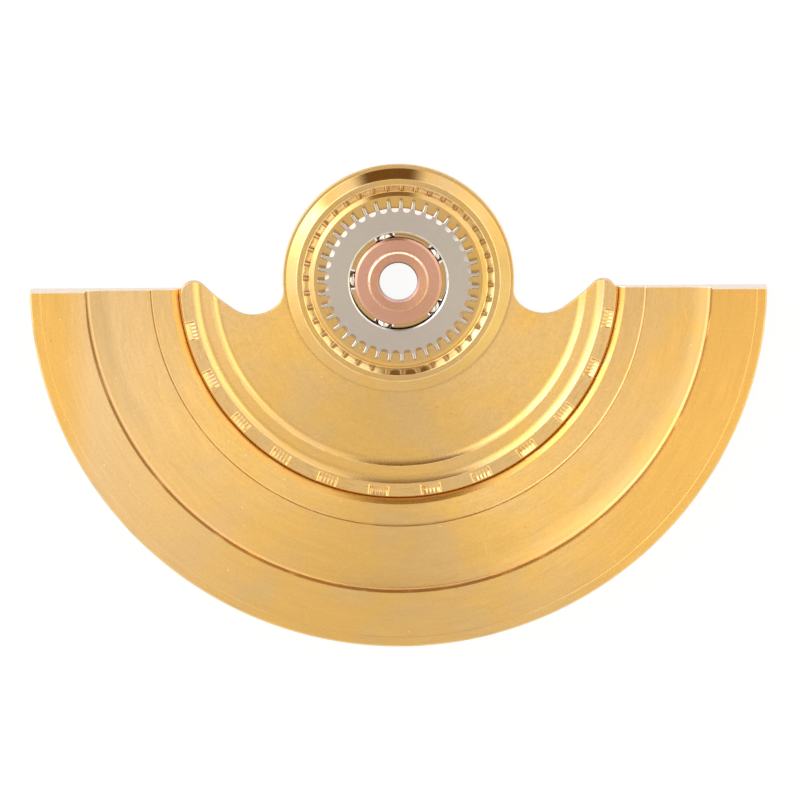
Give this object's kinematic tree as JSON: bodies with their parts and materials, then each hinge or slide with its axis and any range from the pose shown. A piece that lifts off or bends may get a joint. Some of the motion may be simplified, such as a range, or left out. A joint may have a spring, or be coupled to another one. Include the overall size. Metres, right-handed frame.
{
  "type": "automatic watch rotor",
  "caption": "Half-ring winding weight of an automatic watch on a ball bearing whose toothed outer ring drives the winding train.",
  "frame": {"origin": "bearing axis, in the plane of the outer face, at the mouth of the screw-head recess", "axes": "+Z along the bearing axis from the outer face to the geared movement side, -Y towards the middle of the weight, +X along its straight end faces"},
  "size_m": [0.0252, 0.0165, 0.0012],
  "materials": {
    "gilt_brass": "gilt, satin flats and polished turned slopes",
    "gilt_tungsten": "gilt, satin, fine turning marks",
    "nickel_steel": "satin nickel grey",
    "copper_alloy": "copper-rose satin",
    "cage_brass": "bright brass",
    "ball_steel": "polished"
  },
  "bodies": {
    "core": {"bearing_core": "copper_alloy", "cone_ring": "nickel_steel"},
    "rotor": {"rotor_plate": "gilt_brass", "heavy_segment": "gilt_tungsten", "outer_ring_gear": "nickel_steel"},
    "cage": {"ball_cage": "cage_brass"},
    "ball_1": {"ball_1": "ball_steel"},
    "ball_2": {"ball_2": "ball_steel"},
    "ball_3": {"ball_3": "ball_steel"},
    "ball_4": {"ball_4": "ball_steel"},
    "ball_5": {"ball_5": "ball_steel"}
  },
  "joints": [
    {"name": "rotor_spin", "type": "hinge", "parent": "core", "child": "rotor", "pos_m": [0, 0, 0], "axis": [0, 0, 1], "continuous": true},
    {"name": "cage_spin", "type": "hinge", "parent": "core", "child": "cage", "pos_m": [0, 0, 0], "axis": [0, 0, 1], "continuous": true},
    {"name": "ball_1_spin", "type": "hinge", "parent": "cage", "child": "ball_1", "pos_m": [0.0013, 0.00091, 0.00039], "axis": [0, 0, 1], "continuous": true},
    {"name": "ball_2_spin", "type": "hinge", "parent": "cage", "child": "ball_2", "pos_m": [-0.00046, 0.00151, 0.00039], "axis": [0, 0, 1], "continuous": true},
    {"name": "ball_3_spin", "type": "hinge", "parent": "cage", "child": "ball_3", "pos_m": [-0.00158, 0.00003, 0.00039], "axis": [0, 0, 1], "continuous": true},
    {"name": "ball_4_spin", "type": "hinge", "parent": "cage", "child": "ball_4", "pos_m": [-0.00052, -0.0015, 0.00039], "axis": [0, 0, 1], "continuous": true},
    {"name": "ball_5_spin", "type": "hinge", "parent": "cage", "child": "ball_5", "pos_m": [0.00126, -0.00095, 0.00039], "axis": [0, 0, 1], "continuous": true}
  ],
  "couplings": [
    {"joint": "cage_spin", "follows": "rotor_spin", "ratio": 0.56094},
    {"joint": "ball_1_spin", "follows": "rotor_spin", "ratio": 4.0417},
    {"joint": "ball_2_spin", "follows": "rotor_spin", "ratio": 4.0417},
    {"joint": "ball_3_spin", "follows": "rotor_spin", "ratio": 4.0417},
    {"joint": "ball_4_spin", "follows": "rotor_spin", "ratio": 4.0417},
    {"joint": "ball_5_spin", "follows": "rotor_spin", "ratio": 4.0417}
  ]
}
